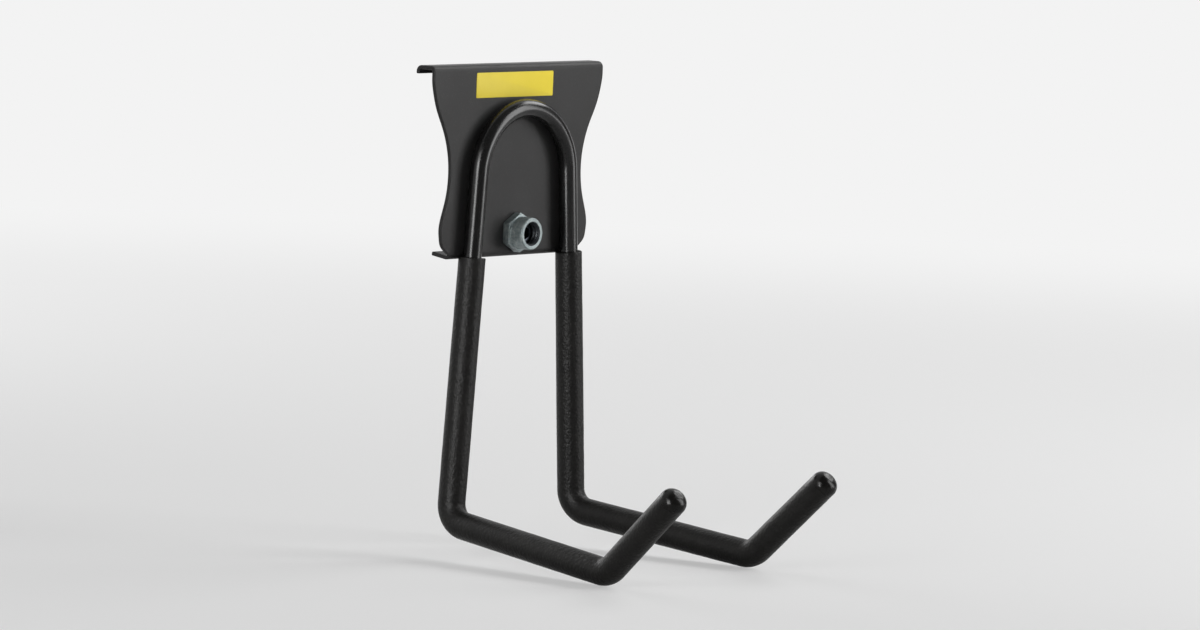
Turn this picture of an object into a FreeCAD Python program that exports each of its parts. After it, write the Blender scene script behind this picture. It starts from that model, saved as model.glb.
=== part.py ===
import FreeCAD
import Part

import math
import os

# Utility hook for a flat wall rail. All sizes are in millimetres.
# The frame has its origin in the middle of the bracket's back face, which lies on the rail.
# +Z is up, +Y points back into the wall and the arms reach forward along -Y.

# Bracket: one folded steel sheet.
SHEET = 1.6
PLATE_HEIGHT = 77.0
PLATE_WIDTH = 102.2
FOLD_INSIDE = 0.8
TOP_LIP_REACH = 8.3
TOP_LIP_DROP = 3.4
BOTTOM_LIP_REACH = 8.3
BOTTOM_LIP_RISE_DEG = 8.0
# Half width of the bracket as a share of half the plate width, at heights given as a share of
# half the plate height: broad shoulders, a waist at mid height and a swell above the bottom lip.
SIDE_STATIONS = (
    (1.000, 0.880),
    (0.981, 0.725),
    (0.933, 0.540),
    (0.860, 0.355),
    (0.805, 0.165),
    (0.779, -0.020),
    (0.778, -0.190),
    (0.806, -0.400),
    (0.853, -0.590),
    (0.866, -0.690),
    (0.858, -0.790),
    (0.825, -0.885),
    (0.752, -0.966),
)
# How far the outline leans inward for each step down where it meets the bottom lip.
FOOT_LEAN = 0.75

# Hook: one bent round rod.
ROD_RADIUS = 3.75
# The arch's crown lies this far below the bracket's top, and the heels below its bottom edge.
ARCH_DROP = 17.55
ARCH_RADIUS = 27.0
LEG_SPLAY_DEG = 4.1
HEEL_DROP = 104.1
ARM_REACH = 89.15
ARM_DROP = 9.4
TIP_REACH = 35.9
TIP_RISE = 34.7
# The toes and tips stand a little inside the bracket's shoulders.
TOE_INSET = 6.8
TIP_INSET = 4.3
BEND_RADIUS = 9.0
ROD_END_CHAMFER = 0.75

# Rubber coatings on the two legs.
COAT_WALL = 1.85
# The rim rises this far above the bracket's bottom edge and lies against its lower fold.
COAT_OVERLAP = 1.1
COAT_RIM_CHAMFER = 0.35
COAT_TIP_ROUND = 4.2
COAT_TIP_WALL = 2.2

# Collared nut welded on the bracket, and its locking screw.
NUT_RISE = 9.6
NUT_ACROSS_FLATS = 14.0
NUT_HEX_LENGTH = 3.4
NUT_CORNER_CHAMFER = 0.5
NUT_CHAMFER_DEG = 30.0
COLLAR_RADIUS = 6.45
COLLAR_LENGTH = 6.0
COLLAR_CHAMFER = 0.35
MOUTH_RADIUS = 4.9
SCREW_RADIUS = 4.55
SCREW_CLEARANCE = 0.05
SCREW_LENGTH = 7.0
SCREW_CHAMFER = 0.7
SCREW_POINT_RADIUS = 3.0
SCREW_POINT_DEPTH = 1.0
SOCKET_ACROSS_FLATS = 5.0
SOCKET_DEPTH = 3.5
PLATE_HOLE_EXTRA = 0.4

# Label stuck on the bracket.
LABEL_WIDTH = 46.2
LABEL_HEIGHT = 10.0
LABEL_THICKNESS = 0.15
LABEL_CORNER = 0.6
LABEL_OFFSET = -3.0
LABEL_TOP_MARGIN = 3.1

HALF_WIDTH = PLATE_WIDTH / 2
HALF_HEIGHT = PLATE_HEIGHT / 2
FRONT_Y = -SHEET
ROD_Y = FRONT_Y - ROD_RADIUS
ARCH_CENTRE_Z = HALF_HEIGHT - ARCH_DROP - ARCH_RADIUS
HEEL_Z = -HALF_HEIGHT - HEEL_DROP
TOE_X = HALF_WIDTH - TOE_INSET
TOE_Y = ROD_Y - ARM_REACH
TOE_Z = HEEL_Z - ARM_DROP
TIP_X = HALF_WIDTH - TIP_INSET
TIP_Y = TOE_Y - TIP_REACH
TIP_Z = TOE_Z + TIP_RISE
COAT_RADIUS = ROD_RADIUS + COAT_WALL
BORE_RADIUS = SCREW_RADIUS + SCREW_CLEARANCE
NUT_Z = -HALF_HEIGHT + NUT_RISE
LABEL_Z = HALF_HEIGHT - LABEL_TOP_MARGIN - LABEL_HEIGHT / 2
UP = FreeCAD.Vector(0, 0, 1)
FORWARD = FreeCAD.Vector(0, -1, 0)


def vec(x, y, z):
    return FreeCAD.Vector(x, y, z)


def fold_profile(start, heading_deg, steps, thickness):
    """Closed section of a folded sheet in the YZ plane.

    Each step is ("run", length) or ("bend", angle, inside radius). Every bend turns left, and
    the sheet lies on the left of the line that is walked.
    """
    y, z = start
    angle = math.radians(heading_deg)
    outer = []
    inner = []
    for step in steps:
        ahead = (math.cos(angle), math.sin(angle))
        left = (-ahead[1], ahead[0])
        if step[0] == "run":
            y2 = y + ahead[0] * step[1]
            z2 = z + ahead[1] * step[1]
            outer.append(Part.makeLine(vec(0, y, z), vec(0, y2, z2)))
            inner.append(Part.makeLine(
                vec(0, y + left[0] * thickness, z + left[1] * thickness),
                vec(0, y2 + left[0] * thickness, z2 + left[1] * thickness)))
            y, z = y2, z2
            continue
        turn = math.radians(step[1])
        big = step[2] + thickness
        cy = y + left[0] * big
        cz = z + left[1] * big

        def on_arc(radius, part, cy=cy, cz=cz, angle=angle, turn=turn):
            a = angle - math.pi / 2 + turn * part
            return vec(0, cy + radius * math.cos(a), cz + radius * math.sin(a))

        for radius, edges in ((big, outer), (step[2], inner)):
            arc = Part.Arc(on_arc(radius, 0.0), on_arc(radius, 0.5), on_arc(radius, 1.0))
            edges.append(arc.toShape())
        angle += turn
        end = on_arc(big, 1.0)
        y, z = end.y, end.z
    first = Part.makeLine(inner[0].Vertexes[0].Point, outer[0].Vertexes[0].Point)
    last = Part.makeLine(outer[-1].Vertexes[-1].Point, inner[-1].Vertexes[-1].Point)
    wire = Part.Wire(Part.__sortEdges__([first] + outer + [last] + inner))
    return Part.Face(wire)


def bracket_outline():
    """Front outline of the bracket in the XZ plane, wider than the folds above and below."""
    side = [vec(HALF_WIDTH * w, 0, HALF_HEIGHT * h) for w, h in SIDE_STATIONS]
    over = HALF_HEIGHT + SHEET
    edges = []
    for sign in (1, -1):
        points = [vec(sign * p.x, 0, p.z) for p in side]
        curve = Part.BSplineCurve()
        down = vec(0, 0, -1)
        tail = vec(-sign * FOOT_LEAN, 0, -1).normalize()
        curve.interpolate(Points=points, InitialTangent=down, FinalTangent=tail)
        edges.append(curve.toShape())
        edges.append(Part.makeLine(vec(sign * HALF_WIDTH, 0, over), points[0]))
        edges.append(Part.makeLine(points[-1], vec(points[-1].x, 0, -over)))
    foot = side[-1].x
    edges.append(Part.makeLine(vec(-HALF_WIDTH, 0, over), vec(HALF_WIDTH, 0, over)))
    edges.append(Part.makeLine(vec(-foot, 0, -over), vec(foot, 0, -over)))
    return Part.Face(Part.Wire(Part.__sortEdges__(edges)))


def bracket_plate():
    """Sheet folded back at the top and bottom so that it grips the rail's two edges."""
    big = FOLD_INSIDE + SHEET
    rise = math.radians(BOTTOM_LIP_RISE_DEG)
    bend_end_y = FRONT_Y + big + big * math.sin(rise)
    bottom_run = (BOTTOM_LIP_REACH - bend_end_y) / math.cos(rise)
    steps = (
        ("run", TOP_LIP_DROP - big),
        ("bend", 90, FOLD_INSIDE),
        ("run", TOP_LIP_REACH + SHEET - 2 * big),
        ("bend", 90, FOLD_INSIDE),
        ("run", PLATE_HEIGHT - 2 * big),
        ("bend", 90 + BOTTOM_LIP_RISE_DEG, FOLD_INSIDE),
        ("run", bottom_run),
    )
    start = (TOP_LIP_REACH, HALF_HEIGHT - TOP_LIP_DROP)
    section = fold_profile(start, 90, steps, SHEET)
    section.translate(vec(-PLATE_WIDTH, 0, 0))
    sheet = section.extrude(vec(2 * PLATE_WIDTH, 0, 0))
    outline = bracket_outline()
    outline.translate(vec(0, FRONT_Y - SHEET, 0))
    depth = max(TOP_LIP_REACH, BOTTOM_LIP_REACH) + 4 * SHEET
    plate = sheet.common(outline.extrude(vec(0, depth, 0)))
    hole = Part.makeCylinder(BORE_RADIUS + PLATE_HOLE_EXTRA, 3 * SHEET,
                             vec(0, FRONT_Y - SHEET, NUT_Z), vec(0, 1, 0))
    return plate.cut(hole).Solids[0]


def arch_end(sign):
    """Point where the arch runs into a leg."""
    a = math.radians(LEG_SPLAY_DEG)
    return vec(sign * ARCH_RADIUS * math.cos(a), ROD_Y, ARCH_CENTRE_Z + ARCH_RADIUS * math.sin(a))


def leg_x(z):
    """Distance of a leg's centre line from the middle at a given height."""
    top = arch_end(1)
    return top.x + (top.z - z) * math.tan(math.radians(LEG_SPLAY_DEG))


def leg_corners(sign):
    """Sharp corners of one leg's centre line, from the arch to the tip."""
    return [
        arch_end(sign),
        vec(sign * leg_x(HEEL_Z), ROD_Y, HEEL_Z),
        vec(sign * TOE_X, TOE_Y, TOE_Z),
        vec(sign * TIP_X, TIP_Y, TIP_Z),
    ]


def bent_edges(points, radius):
    """Lines and tangent arcs along a chain of sharp corners."""
    edges = []
    here = points[0]
    for before, corner, after in zip(points, points[1:], points[2:]):
        u = (corner - before).normalize()
        v = (after - corner).normalize()
        turn = u.getAngle(v)
        cut = radius * math.tan(turn / 2)
        start = corner - u * cut
        end = corner + v * cut
        inward = (v - u).normalize()
        centre = corner + inward * (radius / math.cos(turn / 2))
        edges.append(Part.makeLine(here, start))
        edges.append(Part.Arc(start, centre - inward * radius, end).toShape())
        here = end
    edges.append(Part.makeLine(here, points[-1]))
    return edges


def tube_along(edges, radius):
    """Round bar along a chain of lines and arcs, made of cylinders and torus pieces."""
    pieces = []
    for edge in edges:
        start = edge.valueAt(edge.FirstParameter)
        ahead = edge.tangentAt(edge.FirstParameter)
        if isinstance(edge.Curve, Part.Circle):
            disc = Part.Face(Part.Wire(Part.makeCircle(radius, start, ahead)))
            turn = math.degrees(edge.LastParameter - edge.FirstParameter)
            pieces.append(disc.revolve(edge.Curve.Center, edge.Curve.Axis, turn))
        else:
            pieces.append(Part.makeCylinder(radius, edge.Length, start, ahead))
    return pieces[0].fuse(pieces[1:]).removeSplitter()


def tip_axis(sign):
    """End point and direction of one leg's last straight."""
    points = leg_corners(sign)
    ahead = (points[-1] - points[-2]).normalize()
    return points[-1], ahead


def rod_stop(sign):
    """Point on the last straight where the steel rod's chamfer begins."""
    end, ahead = tip_axis(sign)
    return end - ahead * (COAT_TIP_WALL + ROD_END_CHAMFER)


def hook_rod():
    """Round bar: an arch on the bracket, two splayed legs, two arms and two raised tips."""
    left = leg_corners(-1)
    right = leg_corners(1)
    left[-1] = rod_stop(-1)
    right[-1] = rod_stop(1)
    crown = vec(0, ROD_Y, ARCH_CENTRE_Z + ARCH_RADIUS)
    arch = Part.Arc(left[0], crown, right[0]).toShape()
    edges = bent_edges(left[::-1], BEND_RADIUS) + [arch] + bent_edges(right, BEND_RADIUS)
    rod = tube_along(edges, ROD_RADIUS)
    for sign in (-1, 1):
        stop = rod_stop(sign)
        ahead = tip_axis(sign)[1]
        rod = rod.fuse(Part.makeCone(ROD_RADIUS, ROD_RADIUS - ROD_END_CHAMFER, ROD_END_CHAMFER,
                                     stop, ahead))
    return rod.Solids[0]


def round_tip(sign):
    """Solid of revolution that closes a coating at its tip."""
    end, ahead = tip_axis(sign)
    r = COAT_RADIUS
    f = COAT_TIP_ROUND
    base = -f
    mid = f * math.sqrt(0.5)
    edges = [
        Part.makeLine(vec(0, 0, base), vec(r, 0, base)),
        Part.Arc(vec(r, 0, base), vec(r - f + mid, 0, base + mid), vec(r - f, 0, 0)).toShape(),
        Part.makeLine(vec(r - f, 0, 0), vec(0, 0, 0)),
        Part.makeLine(vec(0, 0, 0), vec(0, 0, base)),
    ]
    tip = Part.Face(Part.Wire(edges)).revolve(vec(0, 0, 0), UP, 360)
    tip.Placement = FreeCAD.Placement(end, FreeCAD.Rotation(UP, ahead))
    return tip


def coating(sign, rod, plate):
    """Rubber sleeve with a closed tip, from the bracket's bottom fold to the end of one arm."""
    corners = leg_corners(sign)
    rim_z = -HALF_HEIGHT + COAT_OVERLAP
    rim = vec(sign * leg_x(rim_z), ROD_Y, rim_z)
    down = (corners[1] - corners[0]).normalize()
    corners[0] = rim + down * COAT_RIM_CHAMFER
    end, ahead = tip_axis(sign)
    corners[-1] = end - ahead * COAT_TIP_ROUND
    skin = tube_along(bent_edges(corners, BEND_RADIUS), COAT_RADIUS)
    lead_in = Part.makeCone(COAT_RADIUS - COAT_RIM_CHAMFER, COAT_RADIUS, COAT_RIM_CHAMFER,
                            rim, down)
    skin = skin.fuse([lead_in, round_tip(sign)])
    return skin.cut([rod, plate]).Solids[0]


def hexagon(across_flats, length, base):
    """Hexagonal bar along -Y with a corner pointing up."""
    r = across_flats / math.sqrt(3)
    points = []
    for k in range(7):
        a = math.radians(90 + 60 * k)
        points.append(vec(base.x + r * math.cos(a), base.y, base.z + r * math.sin(a)))
    return Part.Face(Part.makePolygon(points)).extrude(FORWARD * length)


def weld_nut():
    """Hexagon with a round collar, bored through and flared at the mouth."""
    base = vec(0, FRONT_Y, NUT_Z)
    corner = NUT_ACROSS_FLATS / math.sqrt(3)
    hexagonal = hexagon(NUT_ACROSS_FLATS, NUT_HEX_LENGTH, base)
    # A cone takes the sharp front corners off the hexagon.
    drop = NUT_CORNER_CHAMFER
    limit = Part.makeCylinder(corner, NUT_HEX_LENGTH - drop, base, FORWARD)
    cone = Part.makeCone(corner, corner - drop / math.tan(math.radians(NUT_CHAMFER_DEG)), drop,
                         base + FORWARD * (NUT_HEX_LENGTH - drop), FORWARD)
    hexagonal = hexagonal.common(limit.fuse(cone))
    collar_base = base + FORWARD * NUT_HEX_LENGTH
    straight = COLLAR_LENGTH - COLLAR_CHAMFER
    collar = Part.makeCylinder(COLLAR_RADIUS, straight, collar_base, FORWARD)
    nose = Part.makeCone(COLLAR_RADIUS, COLLAR_RADIUS - COLLAR_CHAMFER, COLLAR_CHAMFER,
                         collar_base + FORWARD * straight, FORWARD)
    nut = hexagonal.fuse([collar, nose])
    total = NUT_HEX_LENGTH + COLLAR_LENGTH
    bore = Part.makeCylinder(BORE_RADIUS, total, base, FORWARD)
    flare = MOUTH_RADIUS - BORE_RADIUS
    funnel = Part.makeCone(BORE_RADIUS, MOUTH_RADIUS, flare, base + FORWARD * (total - flare),
                           FORWARD)
    return nut.cut(bore.fuse(funnel)).removeSplitter().Solids[0]


def lock_screw():
    """Socket set screw, flush with the bracket's back face while it is loose."""
    back = vec(0, 0, NUT_Z)
    body = Part.makeCylinder(SCREW_RADIUS, SCREW_LENGTH - 2 * SCREW_CHAMFER,
                             back + FORWARD * SCREW_CHAMFER, FORWARD)
    rear = Part.makeCone(SCREW_RADIUS - SCREW_CHAMFER, SCREW_RADIUS, SCREW_CHAMFER,
                         back, FORWARD)
    front = Part.makeCone(SCREW_RADIUS, SCREW_RADIUS - SCREW_CHAMFER, SCREW_CHAMFER,
                          back + FORWARD * (SCREW_LENGTH - SCREW_CHAMFER), FORWARD)
    screw = body.fuse([rear, front])
    socket = hexagon(SOCKET_ACROSS_FLATS, SOCKET_DEPTH,
                     back + FORWARD * (SCREW_LENGTH - SOCKET_DEPTH))
    cup = Part.makeCone(SCREW_POINT_RADIUS, 0, SCREW_POINT_DEPTH, back, FORWARD)
    return screw.cut(socket.fuse(cup)).removeSplitter().Solids[0]


def label():
    """Thin rectangle with small round corners on the bracket's front face."""
    plate = Part.makeBox(LABEL_WIDTH, LABEL_THICKNESS, LABEL_HEIGHT,
                         vec(LABEL_OFFSET - LABEL_WIDTH / 2, FRONT_Y - LABEL_THICKNESS,
                             LABEL_Z - LABEL_HEIGHT / 2))
    corners = [e for e in plate.Edges
               if abs(e.tangentAt(e.FirstParameter).y) > 0.9]
    return plate.makeFillet(LABEL_CORNER, corners).Solids[0]


def main():
    os.makedirs("parts", exist_ok=True)
    plate = bracket_plate()
    rod = hook_rod()
    pieces = {
        "bracket_plate": plate,
        "hook_rod": rod,
        "left_coating": coating(-1, rod, plate),
        "right_coating": coating(1, rod, plate),
        "weld_nut": weld_nut(),
        "lock_screw": lock_screw(),
        "label": label(),
    }
    for name, shape in pieces.items():
        shape.exportStep("parts/" + name + ".step")
        box = shape.BoundBox
        print(name, shape.ShapeType, shape.isValid(), round(shape.Volume, 1),
              [round(v, 2) for v in (box.XMin, box.XMax, box.YMin, box.YMax, box.ZMin, box.ZMax)])


main()
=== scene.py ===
import logging
import math
from dataclasses import dataclass
from enum import Enum
from typing import Any, Callable, Optional, Sequence, Union

import bmesh
import bpy
import numpy as np
from mathutils import Matrix, Vector, noise


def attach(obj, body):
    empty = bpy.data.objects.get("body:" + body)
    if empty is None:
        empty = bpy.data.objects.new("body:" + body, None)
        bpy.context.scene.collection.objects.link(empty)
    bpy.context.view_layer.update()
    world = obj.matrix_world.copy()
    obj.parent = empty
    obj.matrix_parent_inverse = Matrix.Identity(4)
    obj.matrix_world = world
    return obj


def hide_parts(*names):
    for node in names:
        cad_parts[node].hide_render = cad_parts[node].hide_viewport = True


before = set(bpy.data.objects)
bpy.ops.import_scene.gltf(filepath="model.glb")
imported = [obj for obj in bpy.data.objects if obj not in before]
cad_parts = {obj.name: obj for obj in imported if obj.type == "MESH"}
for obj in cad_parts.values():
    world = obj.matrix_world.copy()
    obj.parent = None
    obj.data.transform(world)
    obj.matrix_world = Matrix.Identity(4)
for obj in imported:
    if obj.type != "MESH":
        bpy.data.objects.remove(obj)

LOG = logging.getLogger("utility_hook")

# A millimetre in metres, a Y beyond every point, and the corners of a square.
MM = 0.001
FAR_BACK = 1000.0
SQUARE = ((1, 1), (-1, 1), (-1, -1), (1, -1))

# The Mix node's sockets for colours.
MIX_SHARE, MIX_FIRST, MIX_SECOND, MIX_COLOUR = 0, 6, 7, 2

Pair = tuple[float, float]
Triple = tuple[float, float, float]
Outline = tuple[Pair, ...]
Profile = list[Pair]


class Body(Enum):
    """The bodies of the motion model that a piece can ride on."""

    HOOK = "hook"
    SCREW = "lock_screw"


class Slot(Enum):
    """The record's material slots."""

    BRACKET = "bracket_powder_coat"
    ROD = "rod_black_paint"
    SLEEVE = "sleeve_rubber"
    NUT = "nut_zinc"
    SCREW = "screw_black_oxide"
    LABEL = "label_yellow"


class Side(Enum):
    """The two halves of the hook, as the sign of X."""

    LEFT = -1
    RIGHT = 1


# Shader maths


class Value:
    """One output socket that takes part in Python expressions."""

    def __init__(self, bench: "Bench", socket: bpy.types.NodeSocket) -> None:
        """Keeps the socket and the bench that it belongs to."""
        self.bench = bench
        self.socket = socket

    def _math(self, operation: str, *operands: "Number") -> "Value":
        """Output of a new Math node on the operands, in their order."""
        inputs = dict(enumerate(operands))
        return self.bench.node("ShaderNodeMath", {"operation": operation}, inputs)

    def __add__(self, other: "Number") -> "Value":
        """Sum."""
        return self._math("ADD", self, other)

    __radd__ = __add__

    def __mul__(self, other: "Number") -> "Value":
        """Product."""
        return self._math("MULTIPLY", self, other)

    __rmul__ = __mul__

    def __sub__(self, other: "Number") -> "Value":
        """Difference."""
        return self._math("SUBTRACT", self, other)

    def __rsub__(self, other: "Number") -> "Value":
        """Difference with the value on the right."""
        return self._math("SUBTRACT", other, self)

    def sine(self) -> "Value":
        """Sine of the value in radians."""
        return self._math("SINE", self)

    def largest(self, other: "Number") -> "Value":
        """The larger of two values."""
        return self._math("MAXIMUM", self, other)

    def over(self, low: float, high: float) -> "Value":
        """The value from 0 to 1 laid over low to high."""
        return self * (high - low) + low

    def with_share(self, share: float, other: "Value") -> "Value":
        """Sum in which this value has a share and the other one has the rest."""
        return self * share + other * (1 - share)

    def eased(self, low: float, high: float) -> "Value":
        """Smooth rise from 0 at low to 1 at high, or a fall where low is the larger."""
        limits = {"Value": self, "From Min": low, "From Max": high}
        return self.bench.node("ShaderNodeMapRange", {"interpolation_type": "SMOOTHSTEP"}, limits)


Number = Union[Value, float]
Colour = Triple


def srgb(*levels: int) -> Colour:
    """Linear colour of a red, green and blue from 0 to 255."""
    shares = (level / 255 for level in levels)
    return tuple(s / 12.92 if s <= 0.04045 else ((s + 0.055) / 1.055) ** 2.4 for s in shares)


class Bench:
    """A node tree under construction."""

    def __init__(self, tree: bpy.types.NodeTree) -> None:
        """Clears the tree and takes it over."""
        self.tree = tree
        tree.nodes.clear()

    def node(
        self,
        kind: str,
        settings: Optional[dict[str, Any]] = None,
        inputs: Optional[dict[Union[str, int], Any]] = None,
        output: Union[str, int] = 0,
    ) -> Value:
        """Adds a node.

        Args:
            kind: the node's type name.
            settings: its properties, set before its sockets.
            inputs: values or links by socket name or number.
            output: the output that is wanted.

        Returns:
            That output.
        """
        made = self.tree.nodes.new(kind)
        for name, setting in (settings or {}).items():
            setattr(made, name, setting)
        for name, value in (inputs or {}).items():
            socket = made.inputs[name]
            if isinstance(value, Value):
                self.tree.links.new(value.socket, socket)
            else:
                socket.default_value = (*value, 1.0) if socket.type == "RGBA" else value
        return Value(self, made.outputs[output] if made.outputs else None)

    def place(self) -> Value:
        """The point on the object, in metres in its own frame."""
        return self.node("ShaderNodeTexCoord", output="Object")

    def vector(self, operation: str, *operands: Any, output: int = 0) -> Value:
        """Output of a new Vector Math node, where output 1 is a distance or length."""
        inputs = dict(enumerate(operands))
        return self.node("ShaderNodeVectorMath", {"operation": operation}, inputs, output)

    def blend(self, share: Number, first: Any, second: Any) -> Value:
        """Mix of two colours, where a share of 0 is the first and 1 the second."""
        inputs = {MIX_SHARE: share, MIX_FIRST: first, MIX_SECOND: second}
        return self.node("ShaderNodeMix", {"data_type": "RGBA"}, inputs, MIX_COLOUR)

    def grain(self, size_mm: float, detail: float = 2.0, stretch: Optional[Triple] = None) -> Value:
        """Cloudy noise.

        Args:
            size_mm: the rough size of one cloud in millimetres.
            detail: how many finer layers it has.
            stretch: factors along the three axes.

        Returns:
            The noise from 0 to 1.
        """
        place = self.vector("MULTIPLY", self.place(), stretch) if stretch else self.place()
        inputs = {"Vector": place, "Scale": 1 / (size_mm * MM), "Detail": detail}
        return self.node("ShaderNodeTexNoise", None, inputs)

    def cells(self, size_mm: float, softness: float = 0.6) -> Value:
        """Distance to the nearest of points that lie about size_mm apart, as a share of that."""
        inputs = {"Vector": self.place(), "Scale": 1 / (size_mm * MM), "Smoothness": softness}
        return self.node("ShaderNodeTexVoronoi", {"feature": "SMOOTH_F1"}, inputs)

    def bumped(self, height: Value, depth_mm: float) -> Value:
        """Normal of a relief from 0 to 1 that is depth_mm deep."""
        return self.node("ShaderNodeBump", None, {"Height": height, "Distance": depth_mm * MM})


class Paint(Bench):
    """A material of one Principled shader."""

    def __init__(self, name: str) -> None:
        """Starts an empty material.

        Args:
            name: the material's name.
        """
        self.material = bpy.data.materials.new(name)
        self.material.use_nodes = True
        super().__init__(self.material.node_tree)

    def surface(self, sockets: dict[str, Any]) -> bpy.types.Material:
        """Closes the material with its shader.

        Args:
            sockets: values and links of the shader's sockets.

        Returns:
            The finished material.
        """
        shader = self.node("ShaderNodeBsdfPrincipled", None, sockets)
        self.node("ShaderNodeOutputMaterial", None, {"Surface": shader})
        return self.material


# Finishes


@dataclass(frozen=True)
class PowderCoat:
    """Satin black powder coat with fine orange peel and a little dust."""

    name: str = "satin_powder_coat"
    colour: Colour = srgb(44, 44, 44)
    patch: Colour = srgb(50, 49, 49)
    dust: Colour = srgb(88, 86, 84)
    dust_share: float = 0.2
    dust_span: Pair = (0.70, 0.80)
    cloud_span: Pair = (0.3, 0.7)
    roughness: Pair = (0.40, 0.48)
    specular: float = 0.13
    cloud_mm: float = 21.0
    dust_mm: float = 0.35
    peel_mm: Pair = (0.9, 0.27)
    peel_share: float = 0.7
    peel_depth_mm: float = 0.016

    def material(self) -> bpy.types.Material:
        """Mixes the finish.

        Returns:
            Its material.
        """
        paint = Paint(self.name)
        clouds = paint.grain(self.cloud_mm, detail=3.0)
        dust = paint.grain(self.dust_mm, detail=0.0).eased(*self.dust_span)
        colour = paint.blend(clouds, self.colour, self.patch)
        coarse, fine = self.peel_mm
        ripples = paint.grain(fine, detail=1.0)
        peel = paint.grain(coarse, detail=1.5).with_share(self.peel_share, ripples)
        return paint.surface({
            "Base Color": paint.blend(dust * self.dust_share, colour, self.dust),
            "Roughness": clouds.eased(*self.cloud_span).over(*self.roughness),
            "Specular IOR Level": self.specular,
            "Normal": paint.bumped(peel, self.peel_depth_mm),
        })


@dataclass(frozen=True)
class RodPaint:
    """Semi-gloss black paint on the bent bar, a little smoother than the bracket's coat."""

    name: str = "semi_gloss_black"
    colour: Colour = srgb(20, 20, 20)
    streak: Colour = srgb(27, 26, 26)
    roughness: float = 0.17
    cloud_matt: float = 0.08
    nib_matt: float = 0.1
    specular: float = 0.32
    streak_mm: float = 1.6
    streak_stretch: Triple = (1.0, 1.0, 0.12)
    streak_span: Pair = (0.35, 0.75)
    cloud_mm: float = 9.0
    nib_mm: float = 0.5
    nib_span: Pair = (0.68, 0.80)
    peel_mm: float = 1.3
    peel_share: float = 0.75
    peel_depth_mm: float = 0.006

    def material(self) -> bpy.types.Material:
        """Mixes the finish.

        Returns:
            Its material.
        """
        paint = Paint(self.name)
        streaks = paint.grain(self.streak_mm, detail=3.0, stretch=self.streak_stretch)
        nibs = paint.grain(self.nib_mm, detail=0.0).eased(*self.nib_span)
        peel = paint.grain(self.peel_mm, detail=1.0).with_share(self.peel_share, nibs)
        matt = self.roughness + paint.grain(self.cloud_mm) * self.cloud_matt + nibs * self.nib_matt
        return paint.surface({
            "Base Color": paint.blend(streaks.eased(*self.streak_span), self.colour, self.streak),
            "Roughness": matt,
            "Specular IOR Level": self.specular,
            "Normal": paint.bumped(peel, self.peel_depth_mm),
        })


@dataclass(frozen=True)
class DippedRubber:
    """Matt dipped coating with pebbled skin, smoother and glossier round its tip."""

    tip_mm: Triple
    name: str = "dipped_rubber"
    colour: Colour = srgb(18, 17, 16)
    worn: Colour = srgb(29, 28, 26)
    roughness: Pair = (0.22, 0.44)
    cloud_matt: float = 0.12
    tip_span_mm: Pair = (5.0, 13.0)
    tip_relief: float = 0.25
    specular: float = 0.17
    cloud_mm: float = 6.0
    cloud_span: Pair = (0.3, 0.8)
    cloud_wear: float = 0.6
    fine_mm: float = 0.28
    pebble_mm: float = 1.1
    pebble_span: Pair = (0.5, 0.95)
    pebble_share: float = 0.7
    pebble_depth_mm: float = 0.20

    def material(self) -> bpy.types.Material:
        """Mixes the finish.

        Returns:
            Its material.
        """
        paint = Paint(self.name)
        far = paint.vector("DISTANCE", paint.place(), tuple(c * MM for c in self.tip_mm), output=1)
        away = far.eased(*(limit * MM for limit in self.tip_span_mm))
        pebbles = 1 - paint.cells(self.pebble_mm)
        fine = paint.grain(self.fine_mm, detail=1.0)
        height = pebbles.with_share(self.pebble_share, fine)
        clouds = paint.grain(self.cloud_mm, detail=3.0)
        worn = pebbles.eased(*self.pebble_span)
        wear = clouds.eased(*self.cloud_span).with_share(self.cloud_wear, worn)
        return paint.surface({
            "Base Color": paint.blend(wear, self.colour, self.worn),
            "Roughness": away.over(*self.roughness) + (clouds - 0.5) * self.cloud_matt,
            "Specular IOR Level": self.specular,
            "Normal": paint.bumped(height * away.over(self.tip_relief, 1.0), self.pebble_depth_mm),
        })


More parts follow.
